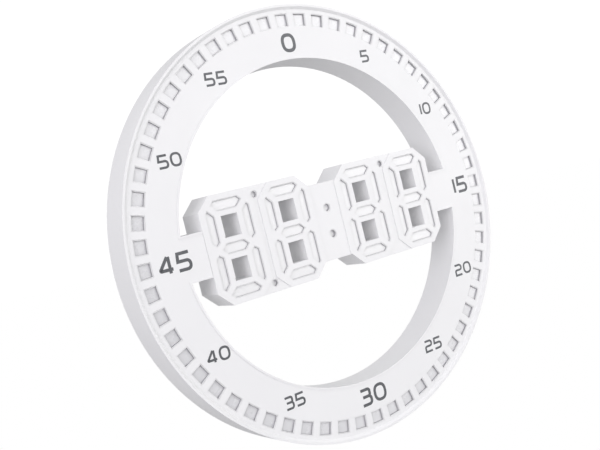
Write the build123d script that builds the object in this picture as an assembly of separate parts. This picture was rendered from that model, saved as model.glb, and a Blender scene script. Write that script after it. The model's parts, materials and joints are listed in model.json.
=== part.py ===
from build123d import *
import os
from math import cos, degrees, radians, sin

# A wall clock: a seconds ring of 60 lit windows round a bridge that carries four
# seven-segment digits. +X is to the right seen from the front, +Z is up, the front
# faces -Y, and the origin is the centre of the clock's bounding box. Outlines are
# drawn as seen from the front, and heights are measured forward from the wall face.
# Clock angles start at 12 and turn to the right. Lengths are in mm, angles in degrees.

# ------------------------------------------------------------------ overall sizes
ring_radius = 151.5
ring_width = 37.5
depth = 26.2  # wall face to the front of the rim lip

# ---------------------------------------------------------------- walls and gaps
shell_wall = 2.2  # side walls of the ring
face_wall = 2.2  # front wall of both housings
cover_wall = 2.2  # back covers
display_wall = 2.0  # side walls of the display housing
fit_gap = 0.2  # a cover inside its walls, a pane in its opening
loose_gap = 0.3  # a moving or floating piece
pilot_gap = 0.03

# -------------------------------------------------------------- rims and windows
rim_lip_width = 1.6
rim_lip_height = 1.6
rim_slope_width = 1.7  # from the lip down to the dial
inner_lip_width = 1.3
inner_lip_height = 0.4
window_count = 60
window_border = 5.95  # outer edge of the ring to the windows
window_length = 9.2
window_angle = 4.0
window_recess = 1.6
frame_wall = 0.45  # dark frames that line the light openings
frame_sink = 0.35

# ------------------------------------------------------------------ display housing
arm_half_height = 15.0
display_inner_edge = 11.3  # half the gap between the two display blocks
display_chamfer = 9.6
display_back_height = 2.0  # the display housing stops this far from the wall
colon_half_height = 26.8
pad_margin = 4.35
pad_height = 0.6

# --------------------------------------------------------------------------- digits
digit_names = ("hour_tens", "hour_units", "minute_tens", "minute_units")
digit_width = 33.1
digit_height = 64.0
digit_spacing = 11.8
digit_inner_border = 3.75
digit_outer_border = 4.45
digit_end_border = 4.0
digit_chamfer = 7.4
bar_width = 6.4  # upright segments
bar_height = 7.1  # level segments
mitre_gap = 4.0
middle_tip_gap = 0.15
bar_foot = 5.0  # where an upright segment starts to narrow, from the digit's middle
bar_foot_tip = 2.5
segment_recess = 1.2
dot_recess = 2.0
hole_side_wall = 3.9  # between a through hole and the upright segments
hole_end_wall = 3.5  # between a through hole and the level segments
hole_tube_wall = 1.5

dot_radius = 2.6
dot_drop = 2.0  # below the top of the digits
colon_dot_radius = 3.0
colon_dot_height = 9.3

# -------------------------------------------------------------- light boards, optics
board_thickness = 1.6
board_end_gap = 0.12  # degrees, at each end of a quarter board
board_spacing = 2.0  # between the control board and the light boards
diffuser_thickness = 2.0
reflector_margin = 1.8  # ring reflector and diffuser beyond the windows
digit_margin = 1.4  # digit reflectors and diffusers beyond the segments
led_length, led_width, led_height = 2.8, 1.8, 0.8
led_pitch = 9.0  # the two LEDs of a segment
link_width, link_half_angle, link_thickness = 4.0, 2.5, 0.8

# ------------------------------------------------------------------ screws and bosses
boss_radius = 3.2
small_boss_radius = 2.6
boss_edge = 0.4  # board left round a boss
boss_space = 1.3  # between the board bosses and the reflector
screw_radius = 1.25
screw_head_radius = 2.5
board_screw_head_radius = 2.2
screw_head_height = 1.6
screw_cross_length = 1.3  # of a head's radius
screw_cross_width = 0.6
cup_radius = 4.2
cup_height = 4.4
case_screw_angles = (20, 70, 110, 145, 215, 250, 290, 340)
case_screw_length = 9.0
board_screw_angles = (15, 45, 75)  # in each quarter of the ring
board_screw_length = 6.0
colon_boss_inset = 6.8
display_board_boss_height = 17.0
tongue_length = 14.0
tongue_side_gap = 1.8
tongue_screw_inset = 7.0
tongue_screw_edge = 3.5
tongue_screw_length = 5.0
tongue_screw_sink = 0.1  # head below the wall face

# ---------------------------------------------------------------------- electronics
component_room = 5.4  # back cover to the control board
control_edge_gap = 1.8  # outer wall to the control board
control_inner_gap = 2.8
control_span = 32.5  # each side of 6 o'clock
control_boss_inset = 3.5
control_screw_angles = (152, 208)

package_height = 1.6
leg_pitch, leg_length, leg_width, leg_thickness = 1.27, 1.2, 0.45, 0.3
pin_mark_radius, pin_mark_inset = 0.5, 1.2
driver_width, driver_length = 5.5, 9.0
driver_offset, driver_place = 6.0, 8.5
controller_width, controller_length = 7.5, 10.0
controller_angle = 190.5
controller_drop = 10.2  # inwards of the capacitors
crystal_length, crystal_width, crystal_height = 7.0, 3.0, 2.4
crystal_angle = 195.5
crystal_inset = 7.0
capacitor_radius, capacitor_height = 2.5, 5.2
capacitor_base, capacitor_base_height = 5.4, 1.0
can_corner = 0.8  # cut off the crystal's and the capacitors' outlines
capacitor_angles = (186.0, 190.5)
capacitor_inset = 4.8
buzzer_radius, buzzer_length = 4.5, 5.0
buzzer_angle = 175.0
buzzer_drop = 3.0  # inwards of the middle of the ring
sound_hole_radius, sound_hole_circle, buzzer_mouth_radius = 0.6, 2.6, 1.0
header_length, header_width = 9.0, 2.4
header_angle = 197.0
header_inset = 3.0

# ----------------------------------------------------------------------------- keys
key_names = ("set", "down", "up", "mode")
key_row_angle = 160.25  # middle of the row
key_pitch = 15.0
key_radius = 4.0
key_flange = 1.2
key_sink = 0.3  # key top below the wall face
key_hollow_ball, key_hollow_depth = 18.0, 0.35
key_dish_radius = 7.0
key_dish_depth = 0.9
switch_size = 6.0
switch_height = 3.5
plunger_radius = 1.7
plunger_reach = 0.6  # out of the switch
plunger_length = 1.7
switch_well_depth = 1.6

# ---------------------------------------------------------------------- memory cell
cell_angle = 203.0
cell_radius = 10.0
cell_thickness = 3.2
cell_step, cell_step_height = 1.5, 0.4
holder_wall = 1.0
holder_base = 0.6
holder_ledge = 2.5
holder_opening = 7.0
contact_radius, contact_length, contact_width = 3.0, 12.0, 2.0
cell_cover_thickness = 1.8
neck_wall = 1.5
lug_reach = 2.0
lug_thickness = 0.9
lug_angle = 24.0
lug_turn = 40.0
coin_slot_length, coin_slot_width, coin_slot_depth = 15.0, 2.2, 1.1
coin_slot_turn = 30.0

# ----------------------------------------------------------- hanging hole, inlet, cable
hang_hole_radius = 4.25
hang_hole_drop = 4.0  # inwards of the middle of the ring
hang_slot_half_width = 2.1
hang_slot_length = 9.5

inlet_width = 7.0
inlet_length = 11.0
inlet_wall = 1.05
inlet_axis_lift = 0.1  # above the middle of the plug recess
inlet_bore_radius = 1.85
inlet_bore_depth = 9.5
inlet_pin_radius = 0.65
inlet_pin_length = 9.0
inlet_pin_sink = 0.5
plug_reach = 14.0  # edge of the ring to the inlet's mouth
plug_recess_half_width = 4.6
plug_recess_height = 8.2
recess_wall = 1.4

ribbon_width = 5.6
ribbon_thickness = 0.8
ribbon_clearance = 1.0
ribbon_start_angle = 209.5
ribbon_plug_length = 4.0
ribbon_plug_height = 1.2
ribbon_reach = 9.0  # into the display housing
cable_slot_side_gap = 0.8
cable_slot_gap = 1.0

# --------------------------------------------------------------- heights from the wall
face_level = depth - rim_lip_height
face_back = face_level - face_wall
pad_level = face_level + inner_lip_height
display_level = pad_level - pad_height
display_face_back = display_level - face_wall
display_cover_front = display_back_height + cover_wall
control_height = cover_wall + component_room
control_front = control_height + board_thickness
board_height = control_front + board_spacing
board_front = board_height + board_thickness
switch_back = control_height - switch_height
plunger_back = switch_back - plunger_reach
cell_front = control_height - holder_base
cell_back = cell_front - cell_thickness
lug_low = cover_wall + loose_gap
inlet_axis_height = plug_recess_height / 2 + inlet_axis_lift
inlet_low = inlet_axis_height - inlet_bore_radius - inlet_wall
ribbon_height = control_height - ribbon_plug_height - ribbon_thickness
ribbon_front = ribbon_height + ribbon_thickness

# ------------------------------------------------------------- radii and places
opening_radius = ring_radius - ring_width
component_circle = ring_radius - ring_width / 2
window_pitch = 360 / window_count
window_outer_radius = ring_radius - window_border
window_inner_radius = window_outer_radius - window_length
board_boss_circle = window_inner_radius - reflector_margin - boss_space - small_boss_radius
board_inner_radius = board_boss_circle - small_boss_radius - boss_edge
board_outer_radius = window_outer_radius + reflector_margin
case_boss_circle = board_inner_radius - loose_gap - cup_radius
control_inner_radius = opening_radius + shell_wall + control_inner_gap
control_outer_radius = ring_radius - shell_wall - control_edge_gap
control_boss_circle = control_inner_radius + control_boss_inset
capacitor_circle = control_outer_radius - capacitor_inset
controller_circle = capacitor_circle - controller_drop
crystal_circle = control_outer_radius - crystal_inset
header_circle = control_outer_radius - header_inset
buzzer_circle = component_circle - buzzer_drop
ribbon_circle = case_boss_circle + cup_radius + ribbon_clearance + ribbon_width / 2
inlet_mouth_z = plug_reach - ring_radius
inlet_notch_radius = ring_radius - 2 * shell_wall
hang_hole_z = component_circle - hang_hole_drop
hang_slot_top_z = hang_hole_z + hang_slot_length
key_step = degrees(key_pitch / component_circle)
key_angles = [key_row_angle + key_step * place for place in (-1.5, -0.5, 0.5, 1.5)]
cell_cover_radius = cell_radius + fit_gap + holder_wall + loose_gap + neck_wall

inner_digit_x = display_inner_edge + digit_inner_border + digit_width / 2
outer_digit_x = inner_digit_x + digit_width + digit_spacing
digit_centres = (-outer_digit_x, -inner_digit_x, inner_digit_x, outer_digit_x)
display_half_length = outer_digit_x + digit_width / 2 + digit_outer_border
display_half_height = digit_height / 2 + digit_end_border
pad_half_width = digit_width / 2 + pad_margin
dot_height = digit_height / 2 - dot_drop
tongue_half_height = arm_half_height - shell_wall - tongue_side_gap
tongue_screw_z = tongue_half_height - tongue_screw_edge
cable_slot_half = ribbon_width / 2 + cable_slot_side_gap
ribbon_end_x = display_wall + ribbon_reach - display_half_length

FRONT = Plane(origin=(0, depth / 2, 0), x_dir=(1, 0, 0), z_dir=(0, -1, 0))
parts = {}


# ----------------------------------------------------------------------- helpers
def slab(outline, low, high):
    """A solid from an outline seen from the front, between two heights."""
    return extrude(FRONT.offset(low) * outline, amount=high - low)


def on_circle(radius, angle, sketch):
    """A sketch moved to a clock angle, with its own up pointing outwards."""
    return Rot(0, 0, -angle) * Pos(0, radius) * sketch


def point_at(radius, angle):
    return radius * sin(radians(angle)), radius * cos(radians(angle))


def annulus(inner, outer):
    return Circle(outer) - Circle(inner)


def sector(inner, outer, start, end):
    """A piece of a ring between two clock angles."""
    far = CenterArc((0, 0), outer, 90 - end, end - start)
    near = CenterArc((0, 0), inner, 90 - end, end - start)
    return make_face([far, Line(far @ 1, near @ 1), near, Line(near @ 0, far @ 0)])


def box_outline(x_low, x_high, z_low, z_high):
    return Pos((x_low + x_high) / 2, (z_low + z_high) / 2) * Rectangle(x_high - x_low, z_high - z_low)


def bevelled(width, height, corner):
    """A rectangle round the origin with its four corners cut off."""
    return chamfer(Rectangle(width, height).vertices(), corner)


def both_sides(outline):
    """An outline and its mirror image left to right."""
    return outline + mirror(outline, about=Plane.YZ)


def discs(points, radius):
    return Sketch() + [Pos(x, z) * Circle(radius) for x, z in points]


def group(solids):
    return Compound(children=list(solids))


def screw(x, z, head_low, length, head_radius=screw_head_radius, countersunk=False):
    """A screw driven forward from the back, its head starting at head_low."""
    seat = head_low + screw_head_height
    shank = slab(Pos(x, z) * Circle(screw_radius), seat, seat + length)
    if countersunk:
        head = loft([
            FRONT.offset(head_low) * Pos(x, z) * Circle(head_radius),
            FRONT.offset(seat) * Pos(x, z) * Circle(screw_radius),
        ])
    else:
        head = slab(Pos(x, z) * Circle(head_radius), head_low, seat)
    bar = Rectangle(head_radius * screw_cross_length, screw_cross_width)
    cross = bar + Rot(0, 0, 90) * bar
    return shank + head - slab(Pos(x, z) * cross, head_low, head_low + screw_cross_width)


def boss(x, z, low, high, radius=boss_radius):
    """A screw boss with its pilot hole."""
    return slab(Pos(x, z) * (Circle(radius) - Circle(screw_radius + pilot_gap)), low, high)


# --------------------------------------------------------------- digit geometry
half_w, half_h = digit_width / 2, digit_height / 2
bar_inner = half_w - bar_width
top_bar_low = half_h - bar_height
chamfer_sum = half_w + half_h - digit_chamfer
mitre_shift = top_bar_low - bar_inner  # the inner corner's z minus x
mitre_half = mitre_gap / 2 * 2**0.5
hole_half_width = bar_inner - hole_side_wall
hole_low = bar_height / 2 + hole_end_wall
hole_high = top_bar_low - hole_end_wall


def top_segment():
    """The level top segment, its ends mitred to the uprights."""
    shift = mitre_shift + mitre_half
    tip = (chamfer_sum - shift) / 2
    right = [(chamfer_sum - half_h, half_h), (tip, chamfer_sum - tip), (top_bar_low - shift, top_bar_low)]
    left = [(-x, z) for x, z in reversed(right)]
    return make_face(Polyline(*right, *left, close=True))


def middle_segment():
    half = bar_height / 2
    tip = bar_inner + middle_tip_gap
    right = [(tip - half, half), (tip, 0), (tip - half, -half)]
    left = [(-x, -z) for x, z in right]
    return make_face(Polyline(*right, *left, close=True))


def upright_segment():
    """The upper right segment."""
    shift = mitre_shift - mitre_half
    tip = (chamfer_sum - shift) / 2
    middle = (bar_inner + half_w) / 2
    return make_face(Polyline(
        (bar_inner, bar_inner + shift), (tip, chamfer_sum - tip), (half_w, chamfer_sum - half_w),
        (half_w, bar_foot), (middle, bar_foot_tip), (bar_inner, bar_foot),
        close=True,
    ))


def digit_segments(grow=0.0):
    """All seven segments of one digit, grown or shrunk outwards by grow."""
    upright, top = upright_segment(), top_segment()
    pair = upright + mirror(upright, about=Plane.YZ)
    segments = pair + mirror(pair, about=Plane.XZ) + top + mirror(top, about=Plane.XZ) + middle_segment()
    if grow == 0:
        return segments
    return Sketch() + [offset(face, grow, kind=Kind.INTERSECTION) for face in segments.faces()]


def digit_holes(grow=0.0):
    """The two square through holes of one digit."""
    upper = box_outline(-hole_half_width - grow, hole_half_width + grow, hole_low - grow, hole_high + grow)
    return upper + mirror(upper, about=Plane.XZ)


def on_digits(sketch):
    return Sketch() + [Pos(x, 0) * sketch for x in digit_centres]


# -------------------------------------------------------------------- outlines
def block_outline(inset=0.0):
    """One display block, right of the middle: a box with chamfered corners."""
    chamfer_size = display_chamfer - inset * (2 - 2**0.5)
    low, high = display_inner_edge + inset, display_half_length - inset
    half = display_half_height - inset
    plain = box_outline(low, high, -half, half)
    return chamfer(plain.vertices(), chamfer_size)


def display_outline(inset=0.0):
    """Both display blocks and the colon plate between them."""
    reach = display_inner_edge + inset + display_wall  # into both blocks, so that all join
    colon = Rectangle(2 * reach, 2 * (colon_half_height - inset))
    return both_sides(block_outline(inset)) + colon


def arm_outline(half_height, inner_end):
    """The right arm, from inner_end into the ring."""
    return box_outline(inner_end, opening_radius + 2 * shell_wall, -half_height, half_height)


def ring_with_arms(inset=0.0, inner_end=display_half_length):
    arms = both_sides(arm_outline(arm_half_height - inset, inner_end))
    return annulus(opening_radius + inset, ring_radius - inset) + arms


block_middle = (display_inner_edge + display_half_length) / 2
case_points = [point_at(case_boss_circle, angle) for angle in case_screw_angles]
board_angles = [quarter * 90 + angle for quarter in range(4) for angle in board_screw_angles]
board_points = [point_at(board_boss_circle, angle) for angle in board_angles]
control_points = [point_at(control_boss_circle, angle) for angle in control_screw_angles]
colon_boss_z = colon_half_height - colon_boss_inset
display_case_points = [(-block_middle, 0), (block_middle, 0), (0, colon_boss_z), (0, -colon_boss_z)]
display_board_points = [
    (side * block_middle, end * display_board_boss_height) for side in (-1, 1) for end in (-1, 1)
]
dot_points = [(-block_middle, dot_height), (-block_middle, -dot_height), (block_middle, dot_height)]
colon_points = [(0, colon_dot_height), (0, -colon_dot_height)]
tongue_screw_x = display_half_length - tongue_screw_inset
tongue_points = [(side * tongue_screw_x, end * tongue_screw_z) for side in (-1, 1) for end in (-1, 1)]
cell_x, cell_z = point_at(component_circle, cell_angle)


# --------------------------------------------------------------------- housings
def windows(gap=0.0):
    """The light windows of the seconds ring, shrunk all round by gap."""
    half = window_angle / 2 - degrees(gap / window_inner_radius)
    one = [
        sector(window_inner_radius + gap, window_outer_radius - gap, angle - half, angle + half)
        for angle in (window_pitch * step for step in range(window_count))
    ]
    return Sketch() + one


def make_rim():
    """The raised edge of the dial: a flat lip, and a slope inside it."""
    lip_edge, foot_y = ring_radius - rim_lip_width, depth / 2 - face_level
    section = make_face(Polyline(
        (lip_edge - rim_slope_width, foot_y), (ring_radius, foot_y),
        (ring_radius, -depth / 2), (lip_edge, -depth / 2),
        close=True,
    ))
    return revolve(section, Axis.Y)


def make_ring_front():
    """The ring's front moulding, with the arms that carry the display."""
    face = slab(ring_with_arms() - windows(), face_back, face_level)
    walls = slab(ring_with_arms() - ring_with_arms(shell_wall, display_half_length), 0, face_back)
    field = annulus(opening_radius + inner_lip_width, ring_radius)
    field += both_sides(arm_outline(arm_half_height - inner_lip_width, display_half_length))
    lip = slab(ring_with_arms() - field, face_level, pad_level)
    shell = face + walls + make_rim() + lip
    for x, z in case_points:
        shell += boss(x, z, cup_height, face_back)
    for x, z in board_points:
        shell += boss(x, z, board_front, face_back, small_boss_radius)
    for x, z in control_points:
        shell += boss(x, z, control_front, face_back, small_boss_radius)
    half = plug_recess_half_width
    notch = box_outline(-half, half, -ring_radius - 1, 0) - Circle(inlet_notch_radius)
    return shell - slab(notch, 0, plug_recess_height)


def make_display_front():
    """The display housing: segment openings, dots and tubes round the through holes."""
    outline = display_outline()
    pads = on_digits(bevelled(2 * pad_half_width, 2 * display_half_height, display_chamfer))
    shell = slab(outline, display_back_height, display_level)
    shell += slab(pads & outline, display_level, pad_level)
    shell -= slab(display_outline(display_wall), display_back_height, display_face_back)
    tubes = on_digits(digit_holes(hole_tube_wall))
    shell += slab(tubes, display_cover_front, display_face_back)
    for x, z in display_case_points:
        shell += boss(x, z, display_cover_front, display_face_back)
    for x, z in display_board_points:
        shell += boss(x, z, board_front, display_face_back, small_boss_radius)
    dots = discs(dot_points, dot_radius) + discs(colon_points, colon_dot_radius)
    shell -= slab(on_digits(digit_segments()) + dots, display_face_back, pad_level)
    shell -= slab(on_digits(digit_holes()), display_back_height, pad_level)
    end = -display_half_length
    slot = box_outline(end, end + display_wall, -cable_slot_half, cable_slot_half)
    return shell - slab(slot, ribbon_height - cable_slot_gap, ribbon_front + cable_slot_gap)


def keyhole():
    """The hanging hole: a head entry below a slot for the screw's neck."""
    slot_top = Pos(0, hang_slot_top_z) * Circle(hang_slot_half_width)
    slot = box_outline(-hang_slot_half_width, hang_slot_half_width, hang_hole_z, hang_slot_top_z)
    return Pos(0, hang_hole_z) * Circle(hang_hole_radius) + slot + slot_top


def sound_holes():
    hole = Circle(sound_hole_radius)
    ring = [on_circle(sound_hole_circle, 60 * step, hole) for step in range(6)]
    return Pos(*point_at(buzzer_circle, buzzer_angle)) * (Sketch() + ring + hole)


def bayonet(radius, start):
    """The two lugs of the cell cover, or their slots, out to radius."""
    inner, half = cell_cover_radius - neck_wall, lug_angle / 2
    lug = sector(inner, radius, start - half, start + half)
    return Pos(cell_x, cell_z) * (Sketch() + lug + Rot(0, 0, 180) * lug)


def make_ring_back():
    """The ring's back cover, with the tongues that the display housing stands on."""
    gap = shell_wall + fit_gap
    plate = slab(ring_with_arms(gap, display_half_length), 0, cover_wall)
    tongue = box_outline(
        display_half_length - tongue_length, opening_radius, -tongue_half_height, tongue_half_height
    )
    plate += slab(both_sides(tongue), 0, display_back_height)
    for x, z in case_points:
        plate += slab(Pos(x, z) * Circle(cup_radius), 0, cup_height)
    recess = plug_recess_half_width
    outer = recess + recess_wall
    box = box_outline(-outer, outer, -inlet_notch_radius, inlet_mouth_z)
    plate += slab(box, 0, plug_recess_height + recess_wall)
    plate -= slab(box_outline(-recess, recess, -ring_radius, inlet_mouth_z), 0, plug_recess_height)
    plate -= slab(inlet_outline(loose_gap), inlet_low - loose_gap, cover_wall)
    for x, z in case_points:
        plate -= slab(Pos(x, z) * Circle(screw_head_radius + loose_gap), 0, cup_height - screw_head_height)
        plate -= slab(Pos(x, z) * Circle(screw_radius + fit_gap), 0, cup_height)
    for x, z in tongue_points:
        plate -= countersink(x, z)
    for angle in key_angles:
        plate -= slab(on_circle(component_circle, angle, Circle(key_dish_radius)), 0, key_dish_depth)
        plate -= slab(on_circle(component_circle, angle, Circle(key_radius + loose_gap)), 0, cover_wall)
    cover_hole = Pos(cell_x, cell_z) * Circle(cell_cover_radius + loose_gap)
    slots = bayonet(cell_cover_radius + lug_reach + loose_gap, lug_turn)
    plate -= slab(cover_hole + slots, 0, cover_wall)
    return plate - slab(keyhole() + sound_holes(), 0, cover_wall)


def countersink(x, z):
    """Room for a countersunk tongue screw."""
    return loft([
        FRONT * Pos(x, z) * Circle(screw_head_radius + fit_gap),
        FRONT.offset(display_back_height) * Pos(x, z) * Circle(screw_radius + fit_gap),
    ])


def make_display_back():
    """The display's back cover, with bosses for the ring cover's tongues."""
    boss_front = display_cover_front + tongue_screw_length
    outline = display_outline(display_wall + fit_gap) - on_digits(digit_holes())
    plate = slab(outline, display_back_height, display_cover_front)
    for x, z in tongue_points:
        plate += boss(x, z, display_back_height, boss_front, small_boss_radius)
        plate -= slab(Pos(x, z) * Circle(screw_radius + pilot_gap), display_back_height, boss_front)
    for x, z in display_case_points:
        plate -= slab(Pos(x, z) * Circle(screw_radius + fit_gap), display_back_height, display_cover_front)
    return plate


# --------------------------------------------------------------- light and lenses
def make_second_diffuser():
    """One translucent ring with a raised pane in each window."""
    ring = annulus(window_inner_radius - reflector_margin, board_outer_radius)
    plate = slab(ring, face_back - diffuser_thickness, face_back)
    return plate + slab(windows(fit_gap + frame_wall), face_back, face_level - window_recess)


def make_second_window_frames():
    """A thin light-tight frame round each pane of the seconds ring."""
    frames = windows(fit_gap / 2) - windows(fit_gap / 2 + frame_wall)
    return slab(frames, face_back, face_level - frame_sink)


def make_second_reflector():
    """A light-tight ring with one cell behind each window."""
    ring = annulus(window_inner_radius - reflector_margin, board_outer_radius)
    return slab(ring - windows(-fit_gap), board_front, face_back - diffuser_thickness)


def digit_plate(margin):
    """The outline shared by a digit's diffuser and reflector, clear of the hole tubes."""
    plate = bevelled(digit_width + 2 * margin, digit_height + margin, digit_chamfer)
    return plate - digit_holes(hole_tube_wall + loose_gap)


def make_digit_diffuser():
    low = display_face_back - diffuser_thickness
    panes = slab(digit_segments(-fit_gap - frame_wall), display_face_back, pad_level - segment_recess)
    return slab(digit_plate(digit_margin), low, display_face_back) + panes


def make_segment_frames():
    """A thin light-tight frame round each segment of one digit."""
    frames = digit_segments(-fit_gap / 2) - digit_segments(-fit_gap / 2 - frame_wall)
    return slab(frames, display_face_back, pad_level - frame_sink)


def make_digit_reflector():
    top = display_face_back - diffuser_thickness
    return slab(digit_plate(digit_margin) - digit_segments(fit_gap), board_front, top)


def make_dot_light_pipes():
    """Clear rods from the dot LEDs to the dots in the display's face."""
    low, high = board_front + led_height, display_level - dot_recess
    small, large = Circle(dot_radius - fit_gap - frame_wall), Circle(colon_dot_radius - fit_gap - frame_wall)
    rods = [slab(Pos(x, z) * small, low, high) for x, z in dot_points]
    return rods + [slab(Pos(x, z) * large, low, high) for x, z in colon_points]


def make_dot_sleeves():
    """Light-tight tubes round the rods, standing on the display board."""
    high, gap = display_level - frame_sink, fit_gap / 2
    small = annulus(dot_radius - gap - frame_wall, dot_radius - gap)
    large = annulus(colon_dot_radius - gap - frame_wall, colon_dot_radius - gap)
    tubes = [slab(Pos(x, z) * small, board_front, high) for x, z in dot_points]
    return tubes + [slab(Pos(x, z) * large, board_front, high) for x, z in colon_points]


def make_second_board(quarter):
    """A quarter of the seconds ring's circuit board."""
    start = quarter * 90 + board_end_gap
    plate = sector(board_inner_radius, board_outer_radius, start, start + 90 - 2 * board_end_gap)
    holes = discs(board_points, screw_radius + fit_gap)
    return slab(plate - holes, board_height, board_front)


def make_board_links():
    """Short flat links that join the quarter boards, on their backs."""
    middle = (board_inner_radius + board_outer_radius) / 2
    inner, outer = middle - link_width / 2, middle + link_width / 2
    low = board_height - link_thickness
    return [
        slab(sector(inner, outer, angle - link_half_angle, angle + link_half_angle), low, board_height)
        for angle in (0, 90, 180, 270)
    ]


def led(sketch_place):
    return slab(sketch_place, board_front, board_front + led_height)


def make_second_leds():
    middle = (window_inner_radius + window_outer_radius) / 2
    chip = Rectangle(led_length, led_width)
    return [led(on_circle(middle, window_pitch * step, chip)) for step in range(window_count)]


def make_segment_leds():
    """Two LEDs behind each segment."""
    upright_x = bar_inner + bar_width / 2
    level_z = half_h - bar_height / 2
    upright_z = (bar_foot + top_bar_low) / 2
    half = led_pitch / 2
    heights = [end * upright_z + shift for end in (-1, 1) for shift in (-half, half)]
    upright = [(side * upright_x, z) for side in (-1, 1) for z in heights]
    level = [(x, z) for x in (-half, half) for z in (-level_z, 0, level_z)]
    chips = []
    for middle in digit_centres:
        chips += [led(Pos(middle + x, z) * Rectangle(led_width, led_length)) for x, z in upright]
        chips += [led(Pos(middle + x, z) * Rectangle(led_length, led_width)) for x, z in level]
    return chips


def make_dot_leds():
    return [led(Pos(x, z) * Rectangle(led_length, led_width)) for x, z in dot_points + colon_points]


def make_display_board():
    outline = display_outline(display_wall + 2 * fit_gap)
    outline -= on_digits(digit_holes(hole_tube_wall + loose_gap))
    outline -= discs(display_case_points, boss_radius + loose_gap)
    outline -= discs(display_board_points, screw_radius + fit_gap)
    return slab(outline, board_height, board_front)


# ------------------------------------------------------------------- electronics
def make_control_board():
    start, end = 180 - control_span, 180 + control_span
    plate = sector(control_inner_radius, control_outer_radius, start, end)
    reach = plug_recess_half_width + recess_wall + 2 * loose_gap
    plate -= box_outline(-reach, reach, -ring_radius, inlet_mouth_z)
    plate -= discs(control_points, screw_radius + fit_gap)
    return slab(plate, control_height, control_front)


def chip_package(place, width, length, board):
    """A chip under a board's back, with a pin-one dimple and two rows of legs."""
    back = board - package_height
    body = slab(place * Rectangle(width, length), back, board)
    mark = Pos(width / 2 - pin_mark_inset, length / 2 - pin_mark_inset) * Circle(pin_mark_radius)
    body -= slab(place * mark, back, back + leg_thickness)
    count = int(length / leg_pitch)
    leg_x = (width + leg_length) / 2
    leg_rows = [(step - (count - 1) / 2) * leg_pitch for step in range(count)]
    leg = Rectangle(leg_length, leg_width)
    legs = Sketch() + [place * Pos(side * leg_x, z) * leg for side in (-1, 1) for z in leg_rows]
    return body + slab(legs, board - leg_thickness, board)


def make_microcontroller():
    place = Rot(0, 0, -controller_angle) * Pos(0, controller_circle)
    return chip_package(place, controller_width, controller_length, control_height)


def make_display_drivers():
    x = block_middle - driver_offset
    places = [Pos(side * x, driver_place) for side in (-1, 1)]
    return [chip_package(place, driver_width, driver_length, board_height) for place in places]


def make_clock_crystal():
    can = on_circle(crystal_circle, crystal_angle, bevelled(crystal_length, crystal_width, can_corner))
    return slab(can, control_height - crystal_height, control_height)


def make_supply_capacitors():
    back, shoulder = control_height - capacitor_height, control_height - capacitor_base_height
    base, can = bevelled(capacitor_base, capacitor_base, can_corner), Circle(capacitor_radius)
    return [
        slab(on_circle(capacitor_circle, angle, base), shoulder, control_height)
        + slab(on_circle(capacitor_circle, angle, can), back, shoulder)
        for angle in capacitor_angles
    ]


def make_buzzer():
    can = on_circle(buzzer_circle, buzzer_angle, Circle(buzzer_radius))
    mouth = on_circle(buzzer_circle, buzzer_angle, Circle(buzzer_mouth_radius))
    low = control_height - buzzer_length
    return slab(can, low, control_height) - slab(mouth, low, low + 2 * buzzer_mouth_radius)


def inlet_outline(gap=0.0):
    half = inlet_width / 2 + gap
    return box_outline(-half, half, inlet_mouth_z, inlet_mouth_z + inlet_length + gap)


def make_inlet_housing():
    body = slab(inlet_outline(), inlet_low, control_height)
    bore = Cylinder(inlet_bore_radius, inlet_bore_depth, align=(Align.CENTER, Align.CENTER, Align.MIN))
    return body - Pos(0, depth / 2 - inlet_axis_height, inlet_mouth_z) * bore


def make_inlet_pin():
    pin = Cylinder(inlet_pin_radius, inlet_pin_length, align=(Align.CENTER, Align.CENTER, Align.MIN))
    tip = fillet(pin.edges().sort_by(Axis.Z)[0], inlet_pin_radius / 2)
    return Pos(0, depth / 2 - inlet_axis_height, inlet_mouth_z + inlet_pin_sink) * tip


def make_board_header():
    """Pins that carry power and data from the control board to the seconds ring."""
    block = on_circle(header_circle, header_angle, Rectangle(header_length, header_width))
    return slab(block, control_front, board_height)


# -------------------------------------------------------------------------- keys
def make_key_switches():
    """The fixed bodies of the four push switches."""
    body, well = Rectangle(switch_size, switch_size), Circle(plunger_radius + fit_gap)
    floor = switch_back + switch_well_depth
    return [
        slab(on_circle(component_circle, angle, body), switch_back, control_height)
        - slab(on_circle(component_circle, angle, well), switch_back, floor)
        for angle in key_angles
    ]


def make_key_plunger(angle):
    rod = on_circle(component_circle, angle, Circle(plunger_radius))
    return slab(rod, plunger_back, plunger_back + plunger_length)


def make_key_cap(angle):
    """A key cap with a dished top and a flange that stops it falling out."""
    stem = on_circle(component_circle, angle, Circle(key_radius))
    flange = on_circle(component_circle, angle, Circle(key_radius + key_flange))
    cap = slab(stem, key_sink, plunger_back) + slab(flange, cover_wall + loose_gap, plunger_back)
    x, z = point_at(component_circle, angle)
    ball_y = depth / 2 - key_sink - key_hollow_depth + key_hollow_ball
    return cap - Pos(x, ball_y, z) * Sphere(key_hollow_ball)


# ------------------------------------------------------------------- memory cell
def make_coin_cell():
    place, shoulder = Pos(cell_x, cell_z), cell_front - cell_step_height
    cup = slab(place * Circle(cell_radius), cell_back, shoulder)
    return cup + slab(place * Circle(cell_radius - cell_step), shoulder, cell_front)


def make_cell_holder():
    """An open ring that the cell snaps into, with a base on the control board."""
    place = Pos(cell_x, cell_z)
    inner, outer = cell_radius + fit_gap, cell_radius + fit_gap + holder_wall
    wall = annulus(inner, outer) - Rectangle(2 * outer, holder_opening)
    base = annulus(cell_radius - holder_ledge, outer)
    return slab(place * wall, cell_back, cell_front) + slab(place * base, cell_front, control_height)


def make_cell_contact():
    spring = Circle(contact_radius) + Rectangle(contact_length, contact_width)
    return slab(Pos(cell_x, cell_z) * spring, cell_front, control_height)


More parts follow.
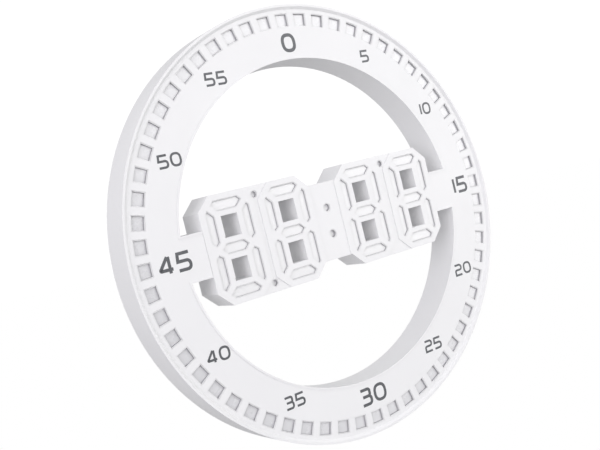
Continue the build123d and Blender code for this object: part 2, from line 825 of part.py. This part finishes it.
def make_cell_cover():
    """The round cover: a coin slot outside, a neck and two lugs inside."""
    place, lug_front = Pos(cell_x, cell_z), lug_low + lug_thickness
    neck = annulus(cell_cover_radius - neck_wall, cell_cover_radius)
    cover = slab(place * Circle(cell_cover_radius), 0, cell_cover_thickness)
    cover += slab(place * neck, cell_cover_thickness, lug_front)
    cover += slab(bayonet(cell_cover_radius + lug_reach, 0), lug_low, lug_front)
    coin_slot = Rot(0, 0, coin_slot_turn) * SlotOverall(coin_slot_length, coin_slot_width)
    return cover - slab(place * coin_slot, 0, coin_slot_depth)


# --------------------------------------------------------------- screws and cable
def make_case_screws():
    head_low = cup_height - 2 * screw_head_height
    return [screw(x, z, head_low, case_screw_length) for x, z in case_points]


def make_display_screws():
    low = display_back_height - screw_head_height
    return [screw(x, z, low, case_screw_length) for x, z in display_case_points]


def make_board_screws():
    low = board_height - screw_head_height
    points = board_points + display_board_points
    return [screw(x, z, low, board_screw_length, board_screw_head_radius) for x, z in points]


def make_control_screws():
    low = control_height - screw_head_height
    return [screw(x, z, low, board_screw_length, board_screw_head_radius) for x, z in control_points]


def make_tongue_screws():
    return [screw(x, z, tongue_screw_sink, tongue_screw_length, countersunk=True) for x, z in tongue_points]


def make_display_ribbon():
    """The flat cable from the control board, round the ring and into the left arm."""
    half = ribbon_width / 2
    curve = sector(ribbon_circle - half, ribbon_circle + half, ribbon_start_angle, 270)
    straight = box_outline(-ribbon_circle, ribbon_end_x, -half, half)
    return slab(curve + straight, ribbon_height, ribbon_front)


def make_ribbon_plugs():
    plug = Rectangle(ribbon_plug_length, ribbon_width)
    turn = degrees(ribbon_plug_length / 2 / ribbon_circle)
    at_control = on_circle(ribbon_circle, ribbon_start_angle + turn, plug)
    at_display = Pos(ribbon_end_x - ribbon_plug_length / 2, 0) * plug
    return [slab(at_control, ribbon_front, control_height), slab(at_display, ribbon_front, board_height)]


# ------------------------------------------------------------------------ export
parts["ring_front"] = make_ring_front()
parts["ring_back"] = make_ring_back()
parts["display_front"] = make_display_front()
parts["display_back"] = make_display_back()
parts["second_diffuser"] = make_second_diffuser()
parts["second_window_frames"] = make_second_window_frames()
parts["second_reflector"] = make_second_reflector()
for name, middle in zip(digit_names, digit_centres):
    parts[f"{name}_diffuser"] = Pos(middle, 0, 0) * make_digit_diffuser()
    parts[f"{name}_reflector"] = Pos(middle, 0, 0) * make_digit_reflector()
parts["segment_frames"] = group(Pos(middle, 0, 0) * make_segment_frames() for middle in digit_centres)
parts["dot_light_pipes"] = group(make_dot_light_pipes())
parts["dot_sleeves"] = group(make_dot_sleeves())
for quarter, name in enumerate(("upper_right", "lower_right", "lower_left", "upper_left")):
    parts[f"second_board_{name}"] = make_second_board(quarter)
parts["board_links"] = group(make_board_links())
parts["second_leds"] = group(make_second_leds())
parts["display_board"] = make_display_board()
parts["segment_leds"] = group(make_segment_leds())
parts["dot_leds"] = group(make_dot_leds())
parts["display_drivers"] = group(make_display_drivers())
parts["control_board"] = make_control_board()
parts["microcontroller"] = make_microcontroller()
parts["clock_crystal"] = make_clock_crystal()
parts["supply_capacitors"] = group(make_supply_capacitors())
parts["buzzer"] = make_buzzer()
parts["inlet_housing"] = make_inlet_housing()
parts["inlet_pin"] = make_inlet_pin()
parts["board_header"] = make_board_header()
parts["key_switches"] = group(make_key_switches())
for name, angle in zip(key_names, key_angles):
    parts[f"{name}_key_plunger"] = make_key_plunger(angle)
    parts[f"{name}_key_cap"] = make_key_cap(angle)
parts["coin_cell"] = make_coin_cell()
parts["cell_holder"] = make_cell_holder()
parts["cell_contact"] = make_cell_contact()
parts["cell_cover"] = make_cell_cover()
parts["case_screws"] = group(make_case_screws())
parts["display_screws"] = group(make_display_screws())
parts["board_screws"] = group(make_board_screws())
parts["control_screws"] = group(make_control_screws())
parts["tongue_screws"] = group(make_tongue_screws())
parts["display_ribbon"] = make_display_ribbon()
parts["ribbon_plugs"] = group(make_ribbon_plugs())

os.makedirs("parts", exist_ok=True)
for node, solid in parts.items():
    export_step(solid, f"parts/{node}.step")
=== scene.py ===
import json
import math

import bmesh
import bpy
from mathutils import Euler, Matrix, Quaternion, Vector


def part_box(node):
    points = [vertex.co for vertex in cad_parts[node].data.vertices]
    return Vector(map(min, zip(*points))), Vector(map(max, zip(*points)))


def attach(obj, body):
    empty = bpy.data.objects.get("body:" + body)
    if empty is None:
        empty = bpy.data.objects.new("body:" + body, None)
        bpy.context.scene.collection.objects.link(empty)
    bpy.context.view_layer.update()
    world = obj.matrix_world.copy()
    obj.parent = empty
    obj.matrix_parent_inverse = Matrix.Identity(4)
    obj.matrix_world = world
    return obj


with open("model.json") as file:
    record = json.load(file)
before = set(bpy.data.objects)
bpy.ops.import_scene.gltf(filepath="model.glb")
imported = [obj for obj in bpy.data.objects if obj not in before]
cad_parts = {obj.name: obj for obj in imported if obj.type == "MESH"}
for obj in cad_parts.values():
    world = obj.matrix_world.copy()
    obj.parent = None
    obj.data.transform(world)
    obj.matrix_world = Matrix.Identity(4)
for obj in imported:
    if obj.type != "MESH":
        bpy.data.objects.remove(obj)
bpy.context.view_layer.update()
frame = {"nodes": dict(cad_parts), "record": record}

MM = 0.001
NODES = frame["nodes"]

# --------------------------------------------------------------------- materials


class Nodes:
    """A small helper that makes one node material."""

    def __init__(self, name):
        self.mat = bpy.data.materials.new(name)
        self.mat.use_nodes = True
        self.tree = self.mat.node_tree
        self.tree.nodes.clear()
        self.out = self.add("ShaderNodeOutputMaterial")
        self.bsdf = self.add("ShaderNodeBsdfPrincipled")
        self.link(self.bsdf.outputs[0], self.out.inputs["Surface"])
        coords = self.add("ShaderNodeTexCoord")
        self.where, self.way = coords.outputs["Object"], coords.outputs["Normal"]

    def add(self, kind, **settings):
        node = self.tree.nodes.new(kind)
        for key, value in settings.items():
            setattr(node, key, value)
        return node

    def link(self, a, b):
        self.tree.links.new(a, b)

    def noise(self, scale, detail=3.0, rough=0.5, distortion=0.0, stretch=None):
        node = self.add("ShaderNodeTexNoise")
        node.inputs["Scale"].default_value = scale
        node.inputs["Detail"].default_value = detail
        node.inputs["Roughness"].default_value = rough
        node.inputs["Distortion"].default_value = distortion
        where = self.where
        if stretch:
            mapping = self.add("ShaderNodeMapping")
            mapping.inputs["Scale"].default_value = stretch
            self.link(where, mapping.inputs["Vector"])
            where = mapping.outputs[0]
        self.link(where, node.inputs["Vector"])
        return node.outputs["Fac"]

    def ramp(self, source, stops):
        node = self.add("ShaderNodeValToRGB")
        ramp = node.color_ramp
        while len(ramp.elements) < len(stops):
            ramp.elements.new(0.5)
        for element, (place, colour) in zip(ramp.elements, stops):
            element.position = place
            if isinstance(colour, (int, float)):
                colour = (colour, colour, colour)
            element.color = (*colour, 1.0)
        self.link(source, node.inputs["Fac"])
        return node.outputs["Color"]

    def span(self, source, low, high, source_low=0.3, source_high=0.7):
        node = self.add("ShaderNodeMapRange")
        ends = {"From Min": source_low, "From Max": source_high, "To Min": low, "To Max": high}
        for key, value in ends.items():
            node.inputs[key].default_value = value
        self.link(source, node.inputs["Value"])
        return node.outputs["Result"]

    def mix(self, fac, a, b):
        node = self.add("ShaderNodeMix", data_type="RGBA")
        for socket, value in ((node.inputs["Factor"], fac), (node.inputs["A"], a), (node.inputs["B"], b)):
            if hasattr(value, "is_linked"):
                self.link(value, socket)
            elif isinstance(value, (int, float)):
                socket.default_value = value
            else:
                socket.default_value = (*value, 1.0)
        return node.outputs["Result"]

    def bump(self, height, distance, strength=1.0, under=None):
        node = self.add("ShaderNodeBump")
        node.inputs["Distance"].default_value = distance
        node.inputs["Strength"].default_value = strength
        self.link(height, node.inputs["Height"])
        if under is not None:
            self.link(under, node.inputs["Normal"])
        self.link(node.outputs[0], self.bsdf.inputs["Normal"])
        return node.outputs[0]

    def set(self, **values):
        for key, value in values.items():
            socket = self.bsdf.inputs[key.replace("_", " ")]
            if hasattr(value, "is_linked"):
                self.link(value, socket)
            elif isinstance(value, tuple):
                socket.default_value = (*value, 1.0) if len(value) == 3 and socket.type == "RGBA" else value
            else:
                socket.default_value = value
        return self


def moulded_white(name, light, shade, rough_low, rough_high, grain, grain_depth):
    """White moulded plastic: faint tone drift, uneven gloss, fine grain and slow flow waves."""
    m = Nodes(name)
    drift = m.noise(14.0, 2.0)
    dust = m.noise(420.0, 4.0, 0.65)
    tone = m.ramp(drift, [(0.3, shade), (0.7, light)])
    specks = m.ramp(dust, [(0.0, 0.965), (0.36, 1.0), (1.0, 1.0)])
    tinted = m.add("ShaderNodeMix", data_type="RGBA", blend_type="MULTIPLY")
    tinted.inputs["Factor"].default_value = 0.6
    m.link(tone, tinted.inputs["A"])
    m.link(specks, tinted.inputs["B"])
    handling = m.noise(38.0, 5.0, 0.6, 0.4)
    m.set(
        Base_Color=tinted.outputs["Result"],
        Roughness=m.span(handling, rough_low, rough_high),
        IOR=1.5,
        Specular_IOR_Level=0.5,
    )
    waves = m.bump(m.noise(26.0, 1.0), 0.00018, 0.25)
    m.bump(m.noise(grain, 2.0, 0.7), grain_depth, 0.35, waves)
    return m.mat


def opal_pane(name, dark, light, coat, rough):
    """The light windows: glossy translucent white, a little deeper in tone; the deeper tone of the seconds
    windows is painted shade.
    """
    m = Nodes(name)
    cloud = m.noise(60.0, 3.0)
    m.set(
        Base_Color=m.ramp(cloud, [(0.3, dark), (0.7, light)]),
        Roughness=m.span(m.noise(150.0, 3.0), rough, rough + 0.08),
        IOR=1.52,
        Specular_IOR_Level=0.8,
        Coat_Weight=coat,
        Coat_Roughness=0.24,
        Coat_IOR=1.65,
        Subsurface_Weight=0.1,
        Subsurface_Radius=(0.0012, 0.0012, 0.0011),
        Subsurface_Scale=1.0,
    )
    m.bump(m.noise(700.0, 2.0), 0.00001, 0.3)
    return m.mat


def plain_plastic(name, dark, light, rough_low, rough_high, grain=2200.0, depth=0.00003):
    m = Nodes(name)
    m.set(
        Base_Color=m.ramp(m.noise(90.0, 4.0), [(0.3, dark), (0.7, light)]),
        Roughness=m.span(m.noise(240.0, 3.0), rough_low, rough_high),
        IOR=1.5,
    )
    m.bump(m.noise(grain, 2.0, 0.6), depth, 0.5)
    return m.mat


def frame_plastic():
    """The frames round the light openings: white front edges, and grey walls that are painted shade for the
    dark outlines of the recesses.
    """
    m = Nodes("light_frame")
    split = m.add("ShaderNodeSeparateXYZ")
    m.link(m.way, split.inputs[0])
    # painted shade: faces turned away from the front take the grey, front faces stay white
    front = m.span(split.outputs["Y"], 1.0, 0.0, -0.9, -0.6)
    grey = m.ramp(m.noise(90.0, 4.0), [(0.3, (0.44, 0.44, 0.455)), (0.7, (0.48, 0.48, 0.495))])
    m.set(
        Base_Color=m.mix(front, grey, (0.80, 0.80, 0.805)),
        Roughness=m.span(m.noise(240.0, 3.0), 0.45, 0.6),
        IOR=1.5,
    )
    m.bump(m.noise(2200.0, 2.0, 0.6), 0.00003, 0.5)
    return m.mat


def metal(name, dark, light, rough_low, rough_high, stretch=(1.0, 1.0, 1.0), depth=0.00001):
    m = Nodes(name)
    lines = m.noise(900.0, 3.0, 0.6, stretch=stretch)
    stain = m.noise(160.0, 4.0)
    m.set(
        Base_Color=m.ramp(stain, [(0.3, dark), (0.7, light)]),
        Metallic=1.0,
        Roughness=m.span(lines, rough_low, rough_high),
    )
    m.bump(lines, depth, 0.5)
    return m.mat


def circuit_board():
    """White solder mask over faint copper tracks."""
    m = Nodes("circuit_board")
    tracks = m.add("ShaderNodeTexVoronoi", feature="DISTANCE_TO_EDGE", distance="MANHATTAN")
    tracks.inputs["Scale"].default_value = 190.0
    m.link(m.where, tracks.inputs["Vector"])
    line = m.ramp(tracks.outputs["Distance"], [(0.0, 1.0), (0.06, 1.0), (0.075, 0.0)])
    m.set(
        Base_Color=m.mix(line, (0.76, 0.78, 0.76), (0.62, 0.66, 0.60)),
        Roughness=m.span(m.noise(300.0), 0.25, 0.4),
        Coat_Weight=0.3,
        Coat_Roughness=0.2,
    )
    m.bump(line, 0.00003, 0.6)
    return m.mat


def led_plastic():
    """Pale yellow phosphor."""
    m = Nodes("led_phosphor")
    m.set(
        Base_Color=m.ramp(m.noise(260.0, 2.0), [(0.35, (0.83, 0.70, 0.22)), (0.65, (0.86, 0.80, 0.52))]),
        Roughness=m.span(m.noise(800.0), 0.25, 0.45),
        IOR=1.45,
    )
    m.bump(m.noise(1500.0), 0.00002, 0.4)
    return m.mat


def ribbon_film():
    """Flat cable: fine ribs between its conductors."""
    m = Nodes("flat_cable")
    ribs = m.noise(900.0, 1.0)
    m.set(
        Base_Color=m.ramp(ribs, [(0.35, (0.60, 0.60, 0.62)), (0.65, (0.74, 0.74, 0.76))]),
        Roughness=m.span(m.noise(200.0), 0.3, 0.5),
        IOR=1.5,
    )
    m.bump(ribs, 0.00008, 0.6)
    return m.mat


def dial_ink():
    """Screen-printed dark grey: fine metallic flake and slightly uneven cover."""
    m = Nodes("dial_ink")
    flake = m.noise(5200.0, 2.0, 0.8)
    cover = m.noise(240.0, 4.0, 0.6)
    m.set(
        Base_Color=m.mix(
            m.span(cover, 0.0, 0.35),
            m.ramp(flake, [(0.35, (0.066, 0.070, 0.077)), (0.65, (0.120, 0.125, 0.134))]),
            (0.17, 0.175, 0.183),
        ),
        Metallic=0.25,
        Roughness=m.span(flake, 0.34, 0.5),
        IOR=1.5,
    )
    m.bump(flake, 0.000012, 0.6)
    return m.mat


SHELL = moulded_white(
    "moulded_white", (0.815, 0.815, 0.82), (0.795, 0.795, 0.802), 0.34, 0.46, 1900.0, 0.000018
)
COVER = moulded_white(
    "textured_white", (0.79, 0.79, 0.795), (0.765, 0.765, 0.772), 0.5, 0.64, 1500.0, 0.00007
)
KEY = moulded_white("key_white", (0.74, 0.74, 0.75), (0.71, 0.71, 0.72), 0.3, 0.42, 2400.0, 0.00002)
MATERIALS = {
    "shell_white": SHELL,
    "cover_white": COVER,
    "key_white": KEY,
    "diffuser": opal_pane("opal_segment", (0.78, 0.78, 0.785), (0.81, 0.81, 0.815), 0.3, 0.3),
    "reflector": moulded_white(
        "reflector_white", (0.86, 0.86, 0.86), (0.83, 0.83, 0.83), 0.4, 0.5, 2000.0, 0.00002
    ),
    "light_frame": frame_plastic(),
    "circuit_board": circuit_board(),
    "led": led_plastic(),
    "chip": plain_plastic("chip_epoxy", (0.018, 0.018, 0.02), (0.03, 0.03, 0.032), 0.45, 0.6),
    "black_plastic": plain_plastic("black_plastic", (0.014, 0.014, 0.015), (0.026, 0.026, 0.027), 0.32, 0.48),
    "bright_metal": metal("bright_metal", (0.62, 0.62, 0.61), (0.74, 0.74, 0.73), 0.14, 0.28),
    "cell_steel": metal("cell_steel", (0.56, 0.56, 0.55), (0.68, 0.68, 0.67), 0.2, 0.38, (1.0, 1.0, 0.06)),
    "screw_steel": metal("screw_steel", (0.42, 0.43, 0.45), (0.58, 0.59, 0.62), 0.24, 0.42),
    "ribbon": ribbon_film(),
}
for part in frame["record"]["subparts"]:
    node = NODES[part["node"]]
    node.data.materials.clear()
    node.data.materials.append(MATERIALS[part["material_slot"]])
# painted shade: the seconds windows get a darker copy of the opal than the digit segments, for the shaded
# look of their recessed panes
NODES["second_diffuser"].data.materials[0] = opal_pane(
    "opal_window_painted_shade", (0.66, 0.66, 0.675), (0.70, 0.70, 0.715), 1.0, 0.22
)

# -------------------------------------------------------------------- soft edges
EDGE_MM = {
    "ring_front": 0.2,
    "ring_back": 0.18,
    "display_front": 0.26,
    "display_back": 0.18,
    "second_diffuser": 0.12,
    "dot_light_pipes": 0.15,
    "cell_cover": 0.25,
    "inlet_housing": 0.2,
    "coin_cell": 0.2,
    "buzzer": 0.2,
    "key_switches": 0.12,
    "supply_capacitors": 0.12,
    "clock_crystal": 0.2,
    "microcontroller": 0.08,
    "case_screws": 0.08,
    "tongue_screws": 0.06,
    "display_screws": 0.08,
}
EDGE_MM.update({name: 0.06 for name in NODES if name.endswith("_diffuser") and name != "second_diffuser"})
EDGE_MM.update({name: 0.3 for name in NODES if name.endswith("_key_cap")})


WELD_MM = 0.002
SHARP_DEGREES = 35


def soften(node, width):
    """Joins the imported faces and rounds their sharp edges a little."""
    weld = node.modifiers.new("weld", "WELD")
    weld.merge_threshold = WELD_MM * MM
    bevel = node.modifiers.new("bevel", "BEVEL")
    bevel.width = width * MM
    bevel.segments = 2
    bevel.limit_method = "ANGLE"
    bevel.angle_limit = math.radians(SHARP_DEGREES)
    normals = node.modifiers.new("normals", "WEIGHTED_NORMAL")
    normals.mode = "FACE_AREA_WITH_ANGLE"
    normals.weight = 60


for name, width in EDGE_MM.items():
    soften(NODES[name], width)

# ------------------------------------------------------------------ dial numbers
RIM_LIP_MM = 1.6  # the dial lies this far behind the front of the rim
DIAL_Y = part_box("ring_front")[0][1] + RIM_LIP_MM * MM
INK_MM = 0.05  # how far the ink stands out of the dial
INK_STEP_MM = 0.006  # each further stroke of a number stands out this much more
INK_ROOT_MM = 0.02  # how deep the back of the ink lies in the dial
CORNER_STEPS = 10
ZERO_POINTS = 64
ZERO_POWER = 0.78  # under 1, the 0 is squarer than an ellipse


def arc_corner(before, corner, after, radius):
    """Points along a rounded corner of a line of straight runs."""
    a, b = (before - corner).normalized(), (after - corner).normalized()
    half = a.angle(b) / 2
    reach = radius / math.tan(half)
    centre = corner + (a + b).normalized() * (radius / math.sin(half))
    start, end = corner + a * reach, corner + b * reach
    u, v = start - centre, end - centre
    turn = math.atan2(u.x * v.y - u.y * v.x, u.dot(v))
    points = []
    for step in range(CORNER_STEPS + 1):
        angle = turn * step / CORNER_STEPS
        c, s = math.cos(angle), math.sin(angle)
        points.append(centre + Vector((u.x * c - u.y * s, u.x * s + u.y * c)))
    return points


def run(corners):
    """A line through corners given as (x, z, radius)."""
    spots = [Vector(c[:2]) for c in corners]
    line = []
    for i, spot in enumerate(spots):
        radius = corners[i][2] if len(corners[i]) > 2 else 0
        if radius and 0 < i < len(spots) - 1:
            line += arc_corner(spots[i - 1], spot, spots[i + 1], radius)
        else:
            line.append(spot)
    return line


def glyph(digit, width, height):
    """Centre lines of one digit in a box from (0, 0) to (width, height)."""
    w, h, middle = width, height, 0.53 * height
    big, small = 0.25 * h, 0.16 * h
    if digit == "0":
        loop = []
        for step in range(ZERO_POINTS):
            angle = 2 * math.pi * step / ZERO_POINTS
            c, s = math.cos(angle), math.sin(angle)
            x = math.copysign(abs(c) ** ZERO_POWER, c)
            z = math.copysign(abs(s) ** ZERO_POWER, s)
            loop.append(Vector((w / 2 + x * w / 2, h / 2 + z * h / 2)))
        return [(loop, True)]
    if digit == "1":
        return [(run([(w / 2, 0), (w / 2, h)]), False)]
    if digit == "2":
        two = [(0, h), (w, h, big), (w, 0.51 * h, big * 0.9), (0, 0.51 * h, small), (0, 0), (w, 0)]
        return [(run(two), False)]
    if digit == "3":
        upper = run([(0, h), (0.94 * w, h, small), (0.94 * w, middle, small), (0.14 * w, middle)])
        lower = run([(0.7 * w, middle), (w, middle, big * 0.8), (w, 0, big * 0.85), (0, 0)])
        return [(upper, False), (lower, False)]
    if digit == "4":
        post = run([(0.77 * w, 0), (0.77 * w, h)])
        sail = run([(0.70 * w, h), (0, 0.23 * h, 0.05 * h), (w, 0.23 * h)])
        return [(post, False), (sail, False)]
    bowl = 0.92 * big
    five = [(w, h), (0.07 * w, h), (0.0, middle), (w, middle, bowl), (w, 0, bowl), (-0.02 * w, 0)]
    return [(run(five), False)]


def add_stroke(bm, line, closed, stroke, place, lift):
    """A flat printed stroke along a line, a few hundredths of a millimetre thick."""
    count = len(line)
    left, right = [], []
    for i, spot in enumerate(line):
        before = line[i - 1] if i or closed else None
        after = line[(i + 1) % count] if i < count - 1 or closed else None
        ends = [(a, b) for a, b in ((before, spot), (spot, after)) if a is not None and b is not None]
        ways = [(b - a).normalized() for a, b in ends]
        way = sum(ways, Vector((0, 0))).normalized()
        side = Vector((-way.y, way.x))
        grow = 1 / max(0.4, side.dot(Vector((-ways[0].y, ways[0].x))))
        left.append(spot + side * stroke / 2 * grow)
        right.append(spot - side * stroke / 2 * grow)

    def level(points, depth):
        return [
            bm.verts.new(((place[0] + p.x) * MM, DIAL_Y - depth * MM, (place[1] + p.y) * MM)) for p in points
        ]

    front_left, front_right = level(left, lift), level(right, lift)
    back_left, back_right = level(left, -INK_ROOT_MM), level(right, -INK_ROOT_MM)
    last = count if closed else count - 1
    for i in range(last):
        j = (i + 1) % count
        bm.faces.new((front_left[i], front_right[i], front_right[j], front_left[j]))
        bm.faces.new((back_left[i], back_left[j], back_right[j], back_right[i]))
        bm.faces.new((front_left[j], back_left[j], back_left[i], front_left[i]))
        bm.faces.new((front_right[i], back_right[i], back_right[j], front_right[j]))
    if not closed:
        for i, flip in ((0, False), (count - 1, True)):
            ring = [front_left[i], back_left[i], back_right[i], front_right[i]]
            bm.faces.new(ring[::-1] if flip else ring)


# Each digit's width as a share of its height, between the middles of its strokes.
WIDTHS = {"0": 0.86, "1": 0.0, "2": 0.80, "3": 0.76, "4": 0.86, "5": 0.80}
# Height, stroke and gap between digits, mm.
LARGE_NUMBER = (12.6, 2.1, 1.75)
SMALL_NUMBER = (9.1, 1.5, 1.25)
ZERO_HEIGHT, ZERO_STROKE = 13.2, 2.4
NUMBER_CIRCLE = 125.3  # radius that the numbers' middles lie on, mm
NUMBER_SHIFT = 1.1  # the whole circle of numbers sits this far to the right, mm
NINE_SHIFT = 3.2  # the 45 sits this much further in, mm


def number_centre(value):
    """The middle of a printed number, x and z from the ring's axis, mm."""
    turn = math.radians(6 * value)
    shift = NUMBER_SHIFT + (NINE_SHIFT if value == 45 else 0)
    return NUMBER_CIRCLE * math.sin(turn) + shift, NUMBER_CIRCLE * math.cos(turn)


def dial_number(value, centre):
    """One printed number, upright, its middle at centre."""
    large = value % 15 == 0
    height, stroke, gap = LARGE_NUMBER if large else SMALL_NUMBER
    if value == 0:
        height, stroke = ZERO_HEIGHT, ZERO_STROKE
    tall = height - stroke
    text = str(value)
    wide = [WIDTHS[c] * tall for c in text]
    total = sum(wide) + stroke * len(text) + gap * (len(text) - 1)
    x = centre[0] - total / 2 + stroke / 2
    z = centre[1] - tall / 2
    mesh = bpy.data.meshes.new(f"number_{value}")
    bm = bmesh.new()
    lift = INK_MM
    for c, width in zip(text, wide):
        for line, closed in glyph(c, width, tall):
            add_stroke(bm, line, closed, stroke, (x, z), lift)
            lift += INK_STEP_MM
        x += width + stroke + gap
    bmesh.ops.recalc_face_normals(bm, faces=bm.faces)
    bm.to_mesh(mesh)
    bm.free()
    piece = bpy.data.objects.new(f"number_{value}", mesh)
    bpy.context.scene.collection.objects.link(piece)
    mesh.materials.append(INK)
    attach(piece, "root")


INK = dial_ink()
for value in range(0, 60, 5):
    dial_number(value, number_centre(value))

# ------------------------------------------------------------------ floor, light
FLOOR_TONE = 0.55
FLOOR_SIZE, FLOOR_PLACE = 30.0, (0, 4.0, -0.9)

bpy.ops.mesh.primitive_plane_add(size=FLOOR_SIZE, location=FLOOR_PLACE)
floor = bpy.context.object
floor.name = "pale_floor"
paper = Nodes("pale_floor")
tones = [(0.3, FLOOR_TONE), (0.7, FLOOR_TONE + 0.02)]
paper.set(Base_Color=paper.ramp(paper.noise(3.0), tones), Roughness=0.8)
glow, path = paper.add("ShaderNodeEmission"), paper.add("ShaderNodeLightPath")
seen = paper.add("ShaderNodeMixShader")
paper.link(path.outputs["Is Camera Ray"], seen.inputs["Fac"])
paper.link(paper.bsdf.outputs[0], seen.inputs[1])
paper.link(glow.outputs[0], seen.inputs[2])
paper.link(seen.outputs[0], paper.out.inputs["Surface"])
floor.data.materials.append(paper.mat)


def area_light(name, place, size, power, colour, roll=0.0):
    """A soft light aimed at the clock; size is (width, height), and roll turns it about its aim."""
    data = bpy.data.lights.new(name, "AREA")
    data.shape = "RECTANGLE"
    data.size, data.size_y = size
    data.energy, data.color = power, colour
    lamp = bpy.data.objects.new(name, data)
    lamp.location = place
    aim = (-Vector(place)).to_track_quat("-Z", "Y")
    lamp.rotation_euler = (aim @ Quaternion((0, 0, 1), math.radians(roll))).to_euler()
    bpy.context.scene.collection.objects.link(lamp)


area_light("key_light", (0.924, -0.924, 0.30), (1.0, 1.13), 7.7, (1.0, 0.995, 0.985), -32)
area_light("fill_light", (-1.09, -0.71, 0.24), (1.2, 1.2), 9.2, (0.975, 0.95, 1.0))
area_light("bounce_card", (0.72, -1.02, -0.36), (0.28, 0.22), 0.36, (1.0, 1.0, 1.0))


def studio_world():
    """A white background, with a soft room behind it that is dimmer below and behind the clock."""
    world = bpy.data.worlds.new("studio")
    world.use_nodes = True
    tree = world.node_tree
    tree.nodes.clear()

    def add(kind, **settings):
        node = tree.nodes.new(kind)
        for key, value in settings.items():
            setattr(node, key, value)
        return node

    def span(source, source_low, source_high, low, high):
        node = add("ShaderNodeMapRange", interpolation_type="SMOOTHSTEP")
        ends = {"From Min": source_low, "From Max": source_high, "To Min": low, "To Max": high}
        for key, value in ends.items():
            node.inputs[key].default_value = value
        tree.links.new(source, node.inputs["Value"])
        return node.outputs["Result"]

    split = add("ShaderNodeSeparateXYZ")
    tree.links.new(add("ShaderNodeTexCoord").outputs["Generated"], split.inputs[0])
    height = span(split.outputs["Z"], -1.0, 1.0, 0.29, 0.83)
    behind = span(split.outputs["Y"], 0.0, 0.9, 1.0, 0.8)
    level = add("ShaderNodeMath", operation="MULTIPLY")
    tree.links.new(height, level.inputs[0])
    tree.links.new(behind, level.inputs[1])
    lit, seen = add("ShaderNodeBackground"), add("ShaderNodeBackground")
    lit.inputs["Color"].default_value = (0.985, 0.985, 1.0, 1)
    tree.links.new(level.outputs[0], lit.inputs["Strength"])
    seen.inputs["Color"].default_value = (1, 1, 1, 1)
    seen.inputs["Strength"].default_value = 1.05
    mix = add("ShaderNodeMixShader")
    tree.links.new(add("ShaderNodeLightPath").outputs["Is Camera Ray"], mix.inputs["Fac"])
    tree.links.new(lit.outputs[0], mix.inputs[1])
    tree.links.new(seen.outputs[0], mix.inputs[2])
    tree.links.new(mix.outputs[0], add("ShaderNodeOutputWorld").inputs["Surface"])
    bpy.context.scene.world = world


studio_world()
bpy.context.scene.view_settings.view_transform = "Standard"
bpy.context.scene.view_settings.look = "None"

# ------------------------------------------------------------------------ camera
CAMERA_PLACE = (-0.34153, -0.49990, 0.02845)
CAMERA_DEGREES = (87.3692, 13.7149, -33.5720)
CAMERA_LENS = 51.72

camera = bpy.data.objects.new("camera", bpy.data.cameras.new("camera"))
bpy.context.scene.collection.objects.link(camera)
camera.data.sensor_width = 36.0
camera.data.lens = CAMERA_LENS
camera.data.clip_start = 0.01
turn = Euler([math.radians(angle) for angle in CAMERA_DEGREES])
camera.matrix_world = Matrix.LocRotScale(Vector(CAMERA_PLACE), turn, None)
bpy.context.scene.camera = camera
